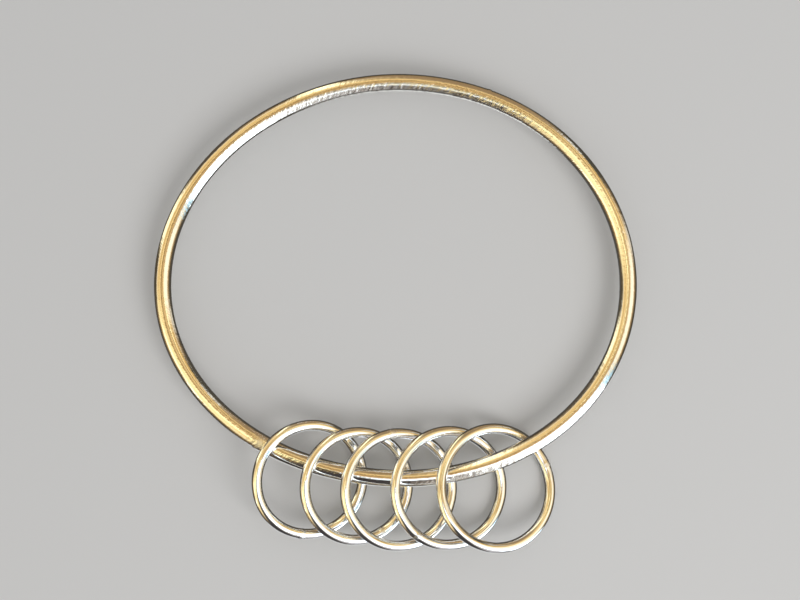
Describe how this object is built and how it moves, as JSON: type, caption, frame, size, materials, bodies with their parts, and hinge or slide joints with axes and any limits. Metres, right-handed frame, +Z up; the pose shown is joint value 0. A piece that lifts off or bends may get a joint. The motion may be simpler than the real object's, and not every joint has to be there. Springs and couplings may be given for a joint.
{
  "type": "bangle with rings",
  "caption": "Oval round-wire silver bangle, lying flat, with small loose closed rings of thinner wire strung on it that slide round it.",
  "frame": {"origin": "on the surface that the object lies on, under the middle of its outline", "axes": "+X along the oval's length, with the rings leaning up to the left; +Y from the strung rings across the oval; +Z up off the surface"},
  "size_m": [0.07, 0.069, 0.0079],
  "materials": {
    "bangle_silver": "polished sterling silver, lightly planished",
    "ring_silver": "polished sterling silver"
  },
  "bodies": {
    "bangle": {"bangle": "bangle_silver"},
    "ring_1": {"ring_1": "ring_silver"},
    "ring_2": {"ring_2": "ring_silver"},
    "ring_3": {"ring_3": "ring_silver"},
    "ring_4": {"ring_4": "ring_silver"},
    "ring_5": {"ring_5": "ring_silver"}
  },
  "joints": [
    {"name": "ring_1_travel", "type": "hinge", "parent": "bangle", "child": "ring_1", "pos_m": [0.00018, 0.00442, 0.00246], "axis": [-0.0244, 0.0305, 0.9992], "continuous": true},
    {"name": "ring_2_spread", "type": "hinge", "parent": "ring_1", "child": "ring_2", "pos_m": [0.00018, 0.00442, 0.00246], "axis": [-0.0244, 0.0305, 0.9992], "range_deg": [0, 59]},
    {"name": "ring_3_spread", "type": "hinge", "parent": "ring_2", "child": "ring_3", "pos_m": [0.00018, 0.00442, 0.00246], "axis": [-0.0244, 0.0305, 0.9992], "range_deg": [0, 59]},
    {"name": "ring_4_spread", "type": "hinge", "parent": "ring_3", "child": "ring_4", "pos_m": [0.00018, 0.00442, 0.00246], "axis": [-0.0244, 0.0305, 0.9992], "range_deg": [0, 59]},
    {"name": "ring_5_spread", "type": "hinge", "parent": "ring_4", "child": "ring_5", "pos_m": [0.00018, 0.00442, 0.00246], "axis": [-0.0244, 0.0305, 0.9992], "range_deg": [0, 59]}
  ]
}
